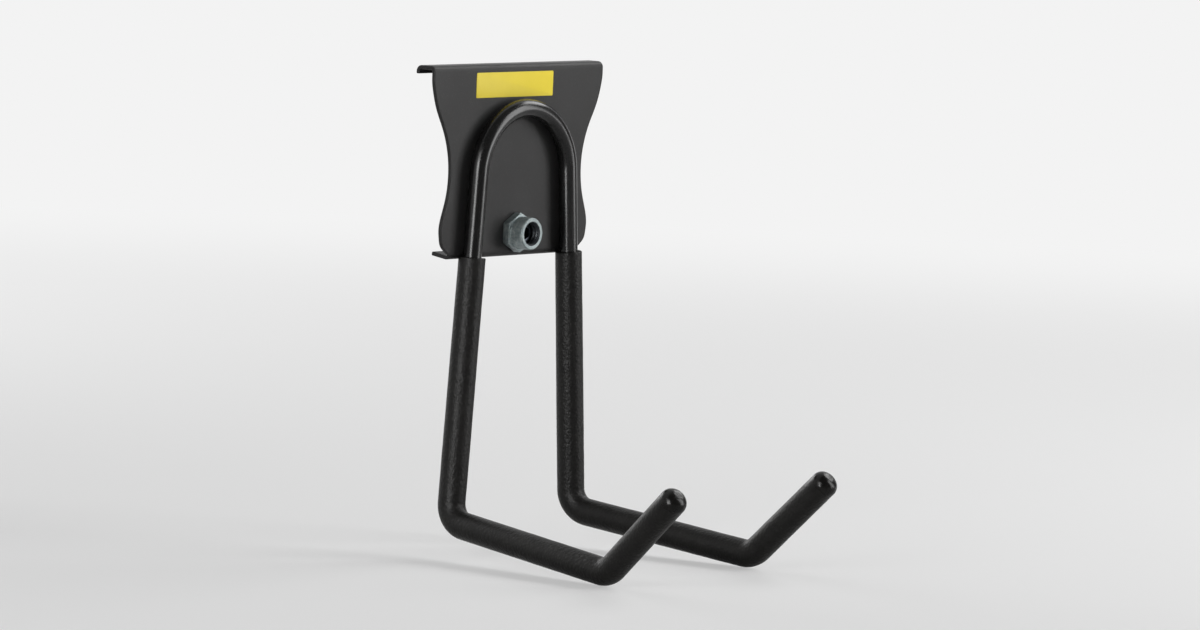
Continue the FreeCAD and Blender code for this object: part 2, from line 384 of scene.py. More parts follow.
@dataclass(frozen=True)
class ZincPlate:
    """Dull zinc plating with turned rings round the collar's axis, and painted shade in the bore.
    """

    axis_height_mm: float
    mouth_mm: float
    name: str = "dull_zinc"
    dark: Colour = srgb(106, 117, 119)
    light: Colour = srgb(158, 167, 166)
    # Painted shade: a darker colour laid on the bore's wall, where shade falls inside the nut.
    bore: Colour = srgb(44, 48, 52)
    mouth_edge_mm: float = 0.1
    metallic: float = 0.45
    roughness: float = 0.38
    mottle_matt: float = 0.14
    haze_matt: float = 0.06
    mottle_mm: float = 1.1
    mottle_span: Pair = (0.3, 0.75)
    mottle_share: float = 0.6
    haze_mm: float = 3.5
    haze_span: Pair = (0.35, 0.7)
    grain_mm: float = 0.4
    ring_pitch_mm: float = 0.30
    ring_share: float = 0.35
    relief_mm: float = 0.030

    def material(self) -> bpy.types.Material:
        """Mixes the finish.

        Returns:
            Its material.
        """
        paint = Paint(self.name)
        flat = paint.vector("MULTIPLY", paint.place(), (1.0, 0.0, 1.0))
        radius = paint.vector("DISTANCE", flat, (0.0, 0.0, self.axis_height_mm * MM), output=1)
        rings = (radius * (math.tau / (self.ring_pitch_mm * MM))).sine() * 0.5 + 0.5
        mottle = paint.grain(self.mottle_mm, detail=3.0).eased(*self.mottle_span)
        haze = paint.grain(self.haze_mm).eased(*self.haze_span)
        pale = mottle.with_share(self.mottle_share, haze)
        outside = paint.blend(pale, self.dark, self.light)
        # Painted shade: everything inside the mouth's radius takes the darker bore colour.
        edge = self.mouth_edge_mm
        inside = radius.eased((self.mouth_mm + edge) * MM, (self.mouth_mm - edge) * MM)
        relief = rings.with_share(self.ring_share, paint.grain(self.grain_mm))
        return paint.surface({
            "Base Color": paint.blend(inside, outside, self.bore),
            "Metallic": self.metallic,
            "Roughness": self.roughness + mottle * self.mottle_matt + haze * self.haze_matt,
            "Normal": paint.bumped(relief, self.relief_mm),
        })


@dataclass(frozen=True)
class BlackOxide:
    """Dark blue-grey oxide with an oily sheen."""

    name: str = "black_oxide"
    dark: Colour = srgb(52, 56, 62)
    light: Colour = srgb(84, 88, 94)
    roughness: float = 0.30
    stain_matt: float = 0.16
    stain_mm: float = 0.9
    stain_span: Pair = (0.35, 0.7)
    grain_mm: float = 0.3
    relief_mm: float = 0.012

    def material(self) -> bpy.types.Material:
        """Mixes the finish.

        Returns:
            Its material.
        """
        paint = Paint(self.name)
        stain = paint.grain(self.stain_mm, detail=3.0).eased(*self.stain_span)
        return paint.surface({
            "Base Color": paint.blend(stain, self.dark, self.light),
            "Metallic": 1.0,
            "Roughness": self.roughness + stain * self.stain_matt,
            "Normal": paint.bumped(paint.grain(self.grain_mm), self.relief_mm),
        })


@dataclass(frozen=True)
class YellowFilm:
    """Plain yellow vinyl film with a faint print grain."""

    name: str = "yellow_film"
    colour: Colour = srgb(219, 198, 60)
    patch: Colour = srgb(226, 205, 68)
    speck: Colour = srgb(214, 190, 60)
    speck_share: float = 0.25
    speck_span: Pair = (0.45, 0.8)
    roughness: float = 0.36
    cloud_matt: float = 0.10
    specular: float = 0.15
    cloud_mm: float = 7.0
    speck_mm: float = 0.25
    ripple_mm: float = 1.8
    ripple_depth_mm: float = 0.012

    def material(self) -> bpy.types.Material:
        """Mixes the finish.

        Returns:
            Its material.
        """
        paint = Paint(self.name)
        clouds = paint.grain(self.cloud_mm)
        specks = paint.grain(self.speck_mm, detail=1.0).eased(*self.speck_span)
        colour = paint.blend(clouds, self.colour, self.patch)
        return paint.surface({
            "Base Color": paint.blend(specks * self.speck_share, colour, self.speck),
            "Roughness": self.roughness + clouds * self.cloud_matt,
            "Specular IOR Level": self.specular,
            "Normal": paint.bumped(paint.grain(self.ripple_mm), self.ripple_depth_mm),
        })


# Mesh building


def spokes(count: int) -> list[float]:
    """Angles of evenly spaced directions round a circle."""
    return [math.tau * k / count for k in range(count)]


def quarter_turn(rows: int) -> list[float]:
    """Angles from 0 to 90 degrees in even steps, both ends among them."""
    return [math.radians(90 * k / rows) for k in range(rows + 1)]


def finish_shading(mesh: bpy.types.Mesh, sharp_deg: float) -> None:
    """Shades a mesh smooth, apart from edges that turn more than sharp_deg."""
    mesh.shade_smooth()
    mesh.set_sharp_from_angle(angle=math.radians(sharp_deg))


class Maker:
    """Points and faces of one piece, in millimetres."""

    def __init__(self) -> None:
        """Starts with nothing."""
        self.points: list[Vector] = []
        self.faces: list[Sequence[int]] = []

    def ring(self, points: Sequence[Vector]) -> list[int]:
        """Adds points.

        Args:
            points: the points in order.

        Returns:
            Their numbers.
        """
        first = len(self.points)
        self.points.extend(points)
        return list(range(first, first + len(points)))

    def skin(self, rings: Sequence[Sequence[int]]) -> None:
        """Joins each closed ring to the next with a band of quads.

        Args:
            rings: the rings, all of equal length.
        """
        for one, two in zip(rings, rings[1:]):
            for k in range(len(one)):
                after = (k + 1) % len(one)
                self.faces.append((one[k], one[after], two[after], two[k]))

    def cap(self, ring: Sequence[int], centre: Vector) -> None:
        """Closes a ring with triangles to its centre.

        Args:
            ring: the ring.
            centre: the point in its middle.
        """
        middle = self.ring([centre])[0]
        for k in range(len(ring)):
            self.faces.append((ring[k], ring[(k + 1) % len(ring)], middle))

    def piece(self, name: str, sharp_deg: float = 40.0) -> bpy.types.Object:
        """Makes the Blender object.

        Args:
            name: the piece's name.
            sharp_deg: edges that turn more than this stay sharp.

        Returns:
            The object.
        """
        mesh = bpy.data.meshes.new(name)
        mesh.from_pydata([tuple(p * MM) for p in self.points], [], [tuple(f) for f in self.faces])
        shape = bmesh.new()
        shape.from_mesh(mesh)
        bmesh.ops.recalc_face_normals(shape, faces=shape.faces)
        shape.to_mesh(mesh)
        shape.free()
        finish_shading(mesh, sharp_deg)
        made = bpy.data.objects.new(name, mesh)
        bpy.context.scene.collection.objects.link(made)
        return made


def dressed(
    piece: bpy.types.Object, material: bpy.types.Material, slot: Slot, body: Body, *nodes: str
) -> None:
    """Gives a piece its finish and its body, and hides the solids that it stands for.

    Args:
        piece: the piece.
        material: its finish.
        slot: not used.
        body: the body that it rides on.
        nodes: the solids that it replaces.
    """
    piece.data.materials.clear()
    piece.data.materials.append(material)
    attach(piece, body.value)
    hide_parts(*nodes)
    triangles = sum(len(p.vertices) - 2 for p in piece.data.polygons)
    LOG.info("%s rides on %s, %d triangles", piece.name, body.value, triangles)


@dataclass(frozen=True)
class Run:
    """A straight stretch of a rod's centre line, or an even bend that has a radius."""

    start: Vector
    ahead: Vector
    length: float
    inward: Optional[Vector] = None
    radius: float = 0.0

    def at(self, distance: float) -> tuple[Vector, Vector]:
        """Point and direction on the stretch.

        Args:
            distance: how far along it.

        Returns:
            The point and the direction there.
        """
        if not self.radius:
            return self.start + self.ahead * distance, self.ahead
        turn = distance / self.radius
        across = self.inward * (self.radius * (1 - math.cos(turn)))
        point = self.start + self.ahead * (self.radius * math.sin(turn)) + across
        return point, self.ahead * math.cos(turn) + self.inward * math.sin(turn)


class Route:
    """Centre line of a bent rod."""

    def __init__(self, runs: Sequence[Run]) -> None:
        """Keeps the stretches in order."""
        self.runs = list(runs)
        self.length = sum(run.length for run in self.runs)

    @staticmethod
    def bent(corners: Sequence[Vector], radius: float) -> list[Run]:
        """Straights and bends along sharp corners.

        Args:
            corners: the corners in order, ends included.
            radius: the bends' radius.

        Returns:
            The stretches.
        """
        runs = []
        here = corners[0]
        for before, corner, after in zip(corners, corners[1:], corners[2:]):
            ahead = (corner - before).normalized()
            onward = (after - corner).normalized()
            turn = ahead.angle(onward)
            start = corner - ahead * (radius * math.tan(turn / 2))
            inward = (onward - ahead * onward.dot(ahead)).normalized()
            runs.append(Run(here, ahead, (start - here).length))
            runs.append(Run(start, ahead, radius * turn, inward, radius))
            here = runs[-1].at(runs[-1].length)[0]
        last = corners[-1] - here
        return runs + [Run(here, last.normalized(), last.length)]

    def at(self, distance: float) -> tuple[Vector, Vector]:
        """Point and direction on the route.

        Args:
            distance: how far along the route.

        Returns:
            The point and the direction there.
        """
        for run in self.runs[:-1]:
            if distance <= run.length:
                return run.at(distance)
            distance -= run.length
        return self.runs[-1].at(distance)

    def stations(self, straight_step: float, bend_step_deg: float) -> list[float]:
        """Distances that follow the route evenly.

        Args:
            straight_step: spacing on straights, and the most on bends.
            bend_step_deg: turn between stations on bends.

        Returns:
            The distances from 0 to the route's length.
        """
        found = [0.0]
        gone = 0.0
        for run in self.runs:
            step = run.radius * math.radians(bend_step_deg) if run.radius else straight_step
            count = max(1, round(run.length / min(step, straight_step)))
            found.extend(gone + run.length * (k + 1) / count for k in range(count))
            gone += run.length
        return found

    def between(self, steps: Pair, low: float, high: float) -> list[float]:
        """Stations that lie between two distances, where steps are what stations() takes."""
        return [distance for distance in self.stations(*steps) if low < distance < high]


def swept(
    maker: Maker, route: Route, stations: Profile, sides: int,
    relief: Optional[Callable[[Vector], float]] = None,
) -> list[list[int]]:
    """Rings of points along a route, without twist.

    Args:
        maker: takes the points.
        route: the centre line.
        stations: pairs of distance and radius.
        sides: points in a ring.
        relief: extra radius at a point of the plain surface.

    Returns:
        The rings.
    """
    rings = []
    across = Vector((0, 0, 0))
    for distance, radius in stations:
        point, ahead = route.at(distance)
        if not across.length:
            across = ahead.orthogonal()
        across = (across - ahead * across.dot(ahead)).normalized()
        other = ahead.cross(across)
        ring = []
        for angle in spokes(sides):
            out = across * math.cos(angle) + other * math.sin(angle)
            extra = relief(point + out * radius) if relief else 0.0
            ring.append(point + out * (radius + extra))
        rings.append(maker.ring(ring))
    return rings


# The bracket


@dataclass
class Bracket:
    """Folded sheet with a waist, hooked back at its top and bottom edges.

    A station of its side is a half width and a height, as shares of half the sheet's own.
    Steps are a spacing in millimetres on flats and a turn in degrees on folds.
    """

    sheet: float = 1.6
    height: float = 77.0
    width: float = 102.2
    fold_inside: float = 0.8
    top_lip_reach: float = 8.3
    top_lip_drop: float = 3.4
    full_width_from: float = 1.2
    bottom_lip_reach: float = 8.3
    bottom_rise_deg: float = 8.0
    foot_lean: float = 0.75
    edge_round: float = 0.38
    edge_rows: int = 3
    corner_rows: int = 4
    least_round: float = 0.02
    hole_radius: float = 5.0
    hole_sides: int = 72
    across: int = 84
    steps: Pair = (0.9, 9.0)
    sharp_deg: float = 50.0
    side_stations: Outline = (
        (1.000, 0.880), (0.981, 0.725), (0.933, 0.540), (0.860, 0.355), (0.805, 0.165),
        (0.779, -0.020), (0.778, -0.190), (0.806, -0.400), (0.853, -0.590), (0.866, -0.690),
        (0.858, -0.790), (0.825, -0.885), (0.752, -0.966),
    )

    @property
    def front_y(self) -> float:
        """Front face of the bracket."""
        return -self.sheet

    @property
    def half_height(self) -> float:
        """Half the bracket's height."""
        return self.height / 2

    @property
    def fold_outside(self) -> float:
        """Outer radius of a fold."""
        return self.fold_inside + self.sheet

    def side_curve(self) -> tuple[np.ndarray, np.ndarray, np.ndarray]:
        """Smooth curve of the bracket's side through its stations.

        Returns:
            Heights, half widths and slopes, from the foot up.
        """
        heights = np.array([h for _, h in self.side_stations][::-1]) * self.half_height
        widths = np.array([w for w, _ in self.side_stations][::-1]) * self.width / 2
        count = len(heights)
        gaps = np.diff(heights)
        rises = np.diff(widths) / gaps
        matrix = np.eye(count)
        right = np.zeros(count)
        right[0] = self.foot_lean
        for k in range(1, count - 1):
            matrix[k, k - 1:k + 2] = (gaps[k], 2 * (gaps[k - 1] + gaps[k]), gaps[k - 1])
            right[k] = 3 * (gaps[k] * rises[k - 1] + gaps[k - 1] * rises[k])
        return heights, widths, np.linalg.solve(matrix, right)

    def half_width_at(self, height: float, curve: tuple[np.ndarray, ...]) -> float:
        """Half width of the bracket at a height.

        Args:
            height: the height above the middle.
            curve: what side_curve() gives.

        Returns:
            The half width.
        """
        heights, widths, slopes = curve
        height = min(max(height, heights[0]), heights[-1])
        k = max(int(np.searchsorted(heights, height)) - 1, 0)
        gap = heights[k + 1] - heights[k]
        t = (height - heights[k]) / gap
        return float(
            (2 * t**3 - 3 * t**2 + 1) * widths[k] + (t**3 - 2 * t**2 + t) * gap * slopes[k]
            + (3 * t**2 - 2 * t**3) * widths[k + 1] + (t**3 - t**2) * gap * slopes[k + 1]
        )

    def fold_front(self, height: float) -> float:
        """How far back the lower fold's outer face lies at a height.

        Args:
            height: the height above the middle.

        Returns:
            Its Y, which is far back below the bracket.
        """
        big = self.fold_outside
        below = -self.half_height + big - height
        if below <= 0:
            return self.front_y
        if below >= big:
            return FAR_BACK
        return self.front_y + big - math.sqrt(big * big - below * below)

    def section(self) -> list[tuple[Vector, Vector, Vector]]:
        """Walk along the outer face of the folded section.

        Returns:
            Point, direction ahead and direction into the sheet at each station.
        """
        big = self.fold_outside
        rise = math.radians(self.bottom_rise_deg)
        end_y = self.front_y + big + big * math.sin(rise)
        last = (self.bottom_lip_reach - end_y) / math.cos(rise)
        walk = (
            (self.top_lip_drop - big, 0.0), (0.0, 90.0),
            (self.top_lip_reach + self.sheet - 2 * big, 0.0), (0.0, 90.0),
            (self.height - 2 * big, 0.0), (0.0, 90.0 + self.bottom_rise_deg), (last, 0.0),
        )
        here = Vector((0, self.top_lip_reach, self.half_height - self.top_lip_drop))
        ahead = Vector((0, 0, 1))
        runs = []
        for length, turn_deg in walk:
            if turn_deg:
                inward = Vector((0, -ahead.z, ahead.y))
                run = Run(here, ahead, big * math.radians(turn_deg), inward, big)
            else:
                run = Run(here, ahead, length)
            runs.append(run)
            here, ahead = run.at(run.length)
        route = Route(runs)
        places = [route.at(distance) for distance in route.stations(*self.steps)]
        return [(point, ahead, Vector((0, -ahead.z, ahead.y))) for point, ahead in places]

    def loop(self, half: float, shrink: float) -> Profile:
        """Rounded outline of the sheet cut across, as places across and into the sheet.

        Args:
            half: half the width.
            shrink: how far the outline is drawn in on all sides.

        Returns:
            The places, first along the outer face, then round the inner one.
        """
        low, high = shrink, self.sheet - shrink
        reach = half - shrink
        bend = max(self.edge_round - shrink, self.least_round)
        corner = quarter_turn(self.corner_rows)[1:]
        outer = [(-reach + bend + (2 * (reach - bend)) * k / self.across, low)
                 for k in range(self.across + 1)]
        right = [(reach - bend + bend * math.sin(a), low + bend - bend * math.cos(a))
                 for a in corner]
        right += [(x, high + low - n) for x, n in right[::-1]]
        inner = [(-x, high) for x, _ in outer]
        left = [(-x, n) for x, n in right[::-1]]
        return outer + right + inner + left

    def build(self, nut_z: float) -> bpy.types.Object:
        """Makes the bracket.

        Args:
            nut_z: height of the hole for the screw.

        Returns:
            The piece.
        """
        maker = Maker()
        curve = self.side_curve()
        ends = [(self.edge_round * (1 - math.sin(a)), self.edge_round * (1 - math.cos(a)))
                for a in quarter_turn(self.edge_rows)[::-1]]
        first, *between, last = self.section()
        plan = [(first[0] + first[1] * back, first[2], shrink) for back, shrink in ends]
        plan += [(point, into, 0.0) for point, _, into in between]
        plan += [(last[0] - last[1] * back, last[2], shrink) for back, shrink in ends[::-1]]
        rings = []
        for point, into, shrink in plan:
            half = self.half_width_at(point.z, curve)
            if point.y > self.sheet + self.full_width_from and point.z > 0:
                half = self.width / 2
            rings.append(maker.ring([
                Vector((x, point.y + into.y * n, point.z + into.z * n))
                for x, n in self.loop(half, shrink)
            ]))
        maker.skin(rings)
        for ring in (rings[0], rings[-1]):
            self.close(maker, ring)
        return self.pierced(maker.piece("bracket_sheet", self.sharp_deg), nut_z)

    def close(self, maker: Maker, ring: Sequence[int]) -> None:
        """Closes the narrow end of the sheet.

        Args:
            maker: takes the faces.
            ring: the last outline.
        """
        count = self.across + 1
        side = (len(ring) - 2 * count) // 2
        outer = ring[:count]
        inner = list(ring[count + side:2 * count + side])[::-1]
        for k in range(self.across):
            maker.faces.append((outer[k], outer[k + 1], inner[k + 1], inner[k]))
        maker.faces.append(tuple(ring[count - 1:count + side + 1]))
        maker.faces.append(tuple(ring[2 * count + side - 1:]) + (ring[0],))

    def pierced(self, piece: bpy.types.Object, nut_z: float) -> bpy.types.Object:
        """Cuts the screw's hole.

        Args:
            piece: the bracket.
            nut_z: height of the hole.

        Returns:
            The same piece with its hole.
        """
        cutter = Maker()
        circle = [(self.hole_radius * math.cos(a), self.hole_radius * math.sin(a))
                  for a in spokes(self.hole_sides)]
        rings = [cutter.ring([Vector((x, y, nut_z + z)) for x, z in circle])
                 for y in (-2 * self.sheet, self.sheet)]
        cutter.skin(rings)
        cutter.faces += [tuple(ring) for ring in rings]
        tool = cutter.piece("hole_tool")
        cut = piece.modifiers.new("hole", "BOOLEAN")
        cut.operation = "DIFFERENCE"
        cut.solver = "EXACT"
        cut.object = tool
        bpy.context.view_layer.update()
        graph = bpy.context.evaluated_depsgraph_get()
        mesh = bpy.data.meshes.new_from_object(piece.evaluated_get(graph))
        piece.modifiers.clear()
        piece.data = mesh
        finish_shading(mesh, self.sharp_deg)
        bpy.data.objects.remove(tool)
        return piece


# The bent rod and its coatings


@dataclass
class Hook:
    """Round bar bent into an arch, two legs, two arms and two raised tips.

    Steps are a spacing in millimetres on straights and a turn in degrees on bends. A clear
    pair is what stays free of such steps at the two ends. The places of the rim's face are
    distances along the bar and out from its surface.
    """

    bracket: Bracket
    rod_radius: float = 3.75
    arch_drop: float = 17.55
    arch_radius: float = 27.0
    splay_deg: float = 4.1
    heel_drop: float = 104.1
    arm_reach: float = 89.15
    arm_drop: float = 9.4
    tip_reach: float = 35.9
    tip_rise: float = 34.7
    toe_inset: float = 6.8
    tip_inset: float = 4.3
    bend_radius: float = 9.0
    rod_end_chamfer: float = 0.75
    rod_sides: int = 96
    rod_steps: Pair = (1.5, 2.0)
    ripple_depth: float = 0.018
    ripple_length: float = 7.0
    ripple_level: float = 0.6
    coat_wall: float = 1.85
    coat_overlap: float = 1.1
    coat_gap: float = 0.02
    coat_sides: int = 72
    coat_steps: Pair = (0.62, 3.4)
    coat_clear: Pair = (0.8, 0.3)
    coat_sharp_deg: float = 60.0
    bore_steps: Pair = (6.0, 7.5)
    bore_clear: Pair = (2.0, 0.5)
    bore_start: float = 0.9
    rim_face: Outline = ((0.10, 0.02), (0.02, 0.25), (0.0, 0.7), (0.0, 1.2))
    rim_round: float = 0.45
    rim_rows: int = 6
    rim_dip: float = 0.26
    rim_level: float = 0.7
    rim_wave: float = 1.3
    rim_seed: float = 3.0
    dipped_rings: int = 12
    seat_gap: float = 0.03
    seat_rings: int = 16
    tip_round: float = 4.2
    tip_rows: int = 12
    tip_wall: float = 2.2
    tip_dimple: float = 0.06
    lump_lengths: Pair = (8.0, 2.1)
    lump_depths: Pair = (0.055, 0.022)
    lump_level: float = 0.75
    lump_seed: float = 40.0
    thinning: float = 0.12
    thin_from: float = -110.0
    thin_over: float = 75.0

    @property
    def rod_y(self) -> float:
        """Y of the rod's centre line on the bracket and the legs."""
        return self.bracket.front_y - self.rod_radius

    @property
    def splay(self) -> float:
        """How far each leg leans outward, in radians."""
        return math.radians(self.splay_deg)

    @property
    def arch_centre(self) -> Vector:
        """Middle of the arch."""
        top = self.bracket.half_height - self.arch_drop
        return Vector((0, self.rod_y, top - self.arch_radius))

    def arch_end(self, side: Side) -> Vector:
        """Where the arch runs into a leg."""
        offset = Vector((side.value * math.cos(self.splay), 0, math.sin(self.splay)))
        return self.arch_centre + offset * self.arch_radius

    def leg_point(self, side: Side, height: float) -> Vector:
        """Point on a leg's centre line.

        Args:
            side: which leg.
            height: its height.

        Returns:
            The point.
        """
        top = self.arch_end(Side.RIGHT)
        x = top.x + (top.z - height) * math.tan(self.splay)
        return Vector((side.value * x, self.rod_y, height))

    def corners(self, side: Side) -> list[Vector]:
        """Sharp corners of one leg, arm and tip.

        Args:
            side: which leg.

        Returns:
            The corners, from the arch to the tip's end.
        """
        half = self.bracket.width / 2
        heel = self.leg_point(side, -self.bracket.half_height - self.heel_drop)
        toe = Vector((side.value * (half - self.toe_inset), self.rod_y - self.arm_reach,
                      heel.z - self.arm_drop))
        tip = Vector((side.value * (half - self.tip_inset), toe.y - self.tip_reach,
                      toe.z + self.tip_rise))
        return [self.arch_end(side), heel, toe, tip]

    def rod_route(self) -> Route:
        """Centre line of the whole bar.

        Returns:
            The line from the left tip to the right one.
        """
        ends = {}
        for side in Side:
            chain = self.corners(side)
            ahead = (chain[-1] - chain[-2]).normalized()
            chain[-1] = chain[-1] - ahead * self.tip_wall
            ends[side] = chain
        left = Route.bent(ends[Side.LEFT][::-1], self.bend_radius)
        right = Route.bent(ends[Side.RIGHT], self.bend_radius)
        start = ends[Side.LEFT][0]
        inward = (self.arch_centre - start).normalized()
        turn = math.pi - 2 * self.splay
        arch = Run(start, left[-1].ahead, self.arch_radius * turn, inward, self.arch_radius)
        return Route(left + [arch] + right)

    def ripple(self, point: Vector) -> float:
        """Very slight unevenness of the painted bar."""
        return self.ripple_depth * (noise.noise(point / self.ripple_length) - self.ripple_level)

    def build_rod(self) -> bpy.types.Object:
        """Makes the bar.

        Returns:
            The piece.
        """
        maker = Maker()
        route = self.rod_route()
        radius, chamfer, total = self.rod_radius, self.rod_end_chamfer, route.length
        inner = route.between(self.rod_steps, chamfer, total - chamfer)
        full = [(d, radius) for d in (chamfer, *inner, total - chamfer)]
        stations = [(0.0, radius - chamfer), *full, (total, radius - chamfer)]
        rings = swept(maker, route, stations, self.rod_sides, self.ripple)
        maker.skin(rings)
        maker.cap(rings[0], route.at(0.0)[0])
        maker.cap(rings[-1], route.at(total)[0])
        return maker.piece("bent_rod")

    def build_coating(self, side: Side) -> bpy.types.Object:
        """Makes one dipped coating with its rim and closed tip.

        Args:
            side: which leg.

        Returns:
            The piece.
        """
        maker = Maker()
        chain = self.corners(side)
        chain[0] = self.leg_point(side, -self.bracket.half_height + self.coat_overlap)
        route = Route(Route.bent(chain, self.bend_radius))
        outer = self.rod_radius + self.coat_wall
        flat = outer - self.rim_round
        rim = [(along, self.rod_radius + beyond) for along, beyond in self.rim_face]
        rim += [(self.rim_round * (1 - math.cos(a)), flat + self.rim_round * math.sin(a))
                for a in quarter_turn(self.rim_rows)]
        dome_start = route.length - self.tip_round
        near, far = self.coat_clear
        body = [(d, outer) for d in route.between(self.coat_steps, near, dome_start - far)]
        dome = [(dome_start + self.tip_round * math.sin(a),
                 outer - self.tip_round * (1 - math.cos(a))) for a in quarter_turn(self.tip_rows)]
        seed = Vector((self.lump_seed * side.value, 0, 0))

        def lumps(point: Vector) -> float:
            """Unevenness that dipping leaves in the coating, thinnest near the rim.

            Args:
                point: a point of the plain coating.

            Returns:
                The extra radius, never above 0.
            """
            slow, quick = [depth * (noise.noise((point + seed) / length) - self.lump_level)
                           for depth, length in zip(self.lump_depths, self.lump_lengths)]
            thin = min(1.0, max(0.0, (point.z - self.thin_from) / self.thin_over))
            return slow + quick - self.thinning * thin * thin * (3 - 2 * thin)

        rings = swept(maker, route, rim + body + dome, self.coat_sides, lumps)
        self.waver(maker, rings[:self.dipped_rings], side)
        self.seat(maker, rings[:self.seat_rings])
        maker.skin(rings)
        end, ahead = route.at(route.length)
        maker.cap(rings[-1], end - ahead * self.tip_dimple)
        self.line_bore(maker, route, rings[0])
        return maker.piece(f"{side.name.lower()}_sleeve", self.coat_sharp_deg)

    def waver(self, maker: Maker, rings: Sequence[Sequence[int]], side: Side) -> None:
        """Lets the rim dip a little here and there, as a dipped edge does.

        Args:
            maker: holds the points.
            rings: the rim's rings, the outermost edge first.
            side: which leg.
        """
        for depth, ring in enumerate(rings):
            share = 1 - depth / len(rings)
            for angle, number in zip(spokes(len(ring)), ring):
                place = Vector((math.cos(angle) * self.rim_wave, math.sin(angle) * self.rim_wave,
                                side.value * self.rim_seed))
                dip = self.rim_dip * share * (noise.noise(place) + self.rim_level)
                maker.points[number].z -= dip

    def seat(self, maker: Maker, rings: Sequence[Sequence[int]]) -> None:
        """Flattens the back of the rim where it lies on the bracket's lower fold.

        Args:
            maker: holds the points.
            rings: the rings near the rim.
        """
        for number in (n for ring in rings for n in ring):
            point = maker.points[number]
            point.y = min(point.y, self.bracket.fold_front(point.z) - self.seat_gap)

    def line_bore(self, maker: Maker, route: Route, rim: Sequence[int]) -> None:
        """Adds the coating's inner face, which lies on the bar.

        Args:
            maker: takes the points and faces.
            route: the coating's centre line.
            rim: the ring at the rim.
        """
        inner = self.rod_radius + self.coat_gap
        end = route.length - self.tip_wall
        chamfer = self.rod_end_chamfer
        near, far = self.bore_clear
        inside = route.between(self.bore_steps, near, end - chamfer - far)
        places = [(d, inner) for d in (self.bore_start, *inside, end - chamfer)]
        places.append((end, inner - chamfer))
        rings = swept(maker, route, places, len(rim))
        maker.skin([rim] + rings)
        maker.cap(rings[-1], route.at(end)[0])

    def dress(self) -> None:
        """Makes and finishes the bar and its two coatings."""
        dressed(self.build_rod(), RodPaint().material(), Slot.ROD, Body.HOOK, "hook_rod")
        for side in Side:
            name = side.name.lower()
            rubber = DippedRubber(tuple(self.corners(side)[-1]), f"{name}_dipped_rubber")
            dressed(self.build_coating(side), rubber.material(), Slot.SLEEVE, Body.HOOK,
                    f"{name}_coating")


# The nut and its screw


def hexagon_radius(
    across_flats: float, angle: float, corner_round: float, ease: float = 0.1
) -> float:
    """Distance from the middle of a hexagon to its side.

    Args:
        across_flats: the hexagon's size.
        angle: direction from the middle, 90 degrees being a corner.
        corner_round: how much the corners are taken back.
        ease: over how much a side runs into its rounded corner.

    Returns:
        The distance.
    """
    turn = (angle - math.radians(90)) % math.radians(60) - math.radians(30)
    plain = across_flats / 2 / math.cos(turn)
    limit = across_flats / math.sqrt(3) - corner_round - ease
    return plain if plain < limit else limit + ease * math.tanh((plain - limit) / ease)


